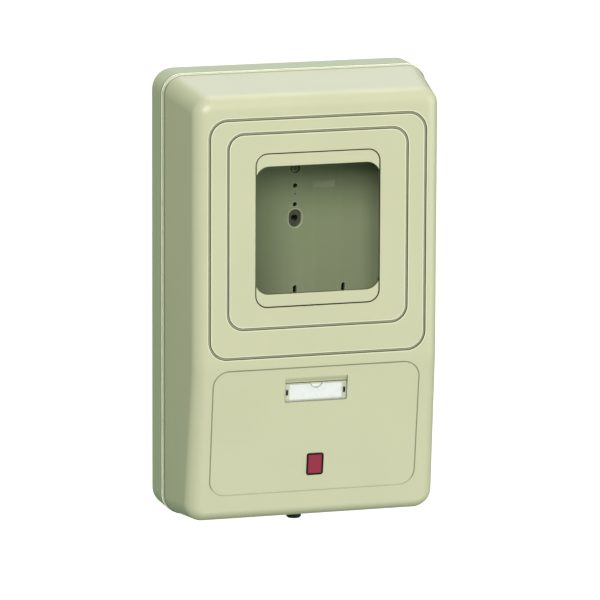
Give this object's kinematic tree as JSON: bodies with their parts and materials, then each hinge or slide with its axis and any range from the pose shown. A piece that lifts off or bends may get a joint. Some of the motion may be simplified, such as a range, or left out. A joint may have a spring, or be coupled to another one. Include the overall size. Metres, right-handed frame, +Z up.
{
  "type": "electric meter box",
  "caption": "Wall-mounted electric meter box: moulded base and drafted, hooked-on front cover with an open meter window, a name-card pocket with a clear lid and a knob screw below.",
  "frame": {"origin": "on the wall face, in the middle of the box's width and level with the centre of the meter window", "axes": "+Z up, +Y into the wall, the front looks along -Y, +X to the right seen from the front"},
  "size_m": [0.27, 0.122, 0.4528],
  "materials": {
    "base_resin": "beige moulded resin, light gloss",
    "cover_resin": "beige moulded resin, light gloss",
    "adapter_resin": "beige moulded resin, satin",
    "plate_resin": "grey-beige moulded resin, satin",
    "zinc_steel": "zinc-plated steel",
    "brass": "turned brass",
    "rubber": "black rubber",
    "black_resin": "black moulded resin",
    "clear_resin": "clear resin",
    "card": "white card",
    "badge": "dark red plate with a black border"
  },
  "bodies": {
    "base": {"rear_base": "base_resin", "meter_plate": "plate_resin", "plate_screws": "zinc_steel", "plate_inserts": "brass", "hanger_strip": "zinc_steel", "hanger_screw": "zinc_steel", "strip_rivets": "zinc_steel", "wall_washers": "rubber", "cable_bushings": "rubber"},
    "cover": {"front_cover": "cover_resin", "window_adapter": "adapter_resin", "knob_washer": "rubber", "name_card": "card", "badge_plate": "badge"},
    "lid": {"card_lid": "clear_resin"},
    "screw": {"cover_screw": "zinc_steel", "cover_knob": "black_resin", "screw_ring": "zinc_steel"},
    "nut": {"cover_nut": "zinc_steel"},
    "left_slot_nut": {"slot_nut_left": "zinc_steel"},
    "middle_slot_nut": {"slot_nut_middle": "zinc_steel"},
    "right_slot_nut": {"slot_nut_right": "zinc_steel"}
  },
  "joints": [
    {"name": "cover_swing", "type": "hinge", "parent": "base", "child": "cover", "pos_m": [0, -0.0375, 0.1438], "axis": [-1, 0, 0], "range_deg": [0, 18]},
    {"name": "lid_tilt", "type": "hinge", "parent": "cover", "child": "lid", "pos_m": [0, -0.11608, -0.1723], "axis": [1, 0, 0], "range_deg": [0, 80]},
    {"name": "nut_travel", "type": "slide", "parent": "cover", "child": "nut", "axis": [0, 0, 1], "range_m": [0, 0.004]},
    {"name": "screw_turn", "type": "hinge", "parent": "cover", "child": "screw", "pos_m": [0, -0.042, -0.3], "axis": [0, 0, -1], "range_deg": [0, 1801]},
    {"name": "left_nut_slide", "type": "slide", "parent": "base", "child": "left_slot_nut", "axis": [0, 0, 1], "range_m": [0, 0.012]},
    {"name": "middle_nut_slide", "type": "slide", "parent": "base", "child": "middle_slot_nut", "axis": [0, 0, 1], "range_m": [0, 0.012]},
    {"name": "right_nut_slide", "type": "slide", "parent": "base", "child": "right_slot_nut", "axis": [0, 0, 1], "range_m": [0, 0.012]}
  ],
  "couplings": [
    {"joint": "screw_turn", "follows": "nut_travel", "rad_per_m": 7854}
  ]
}
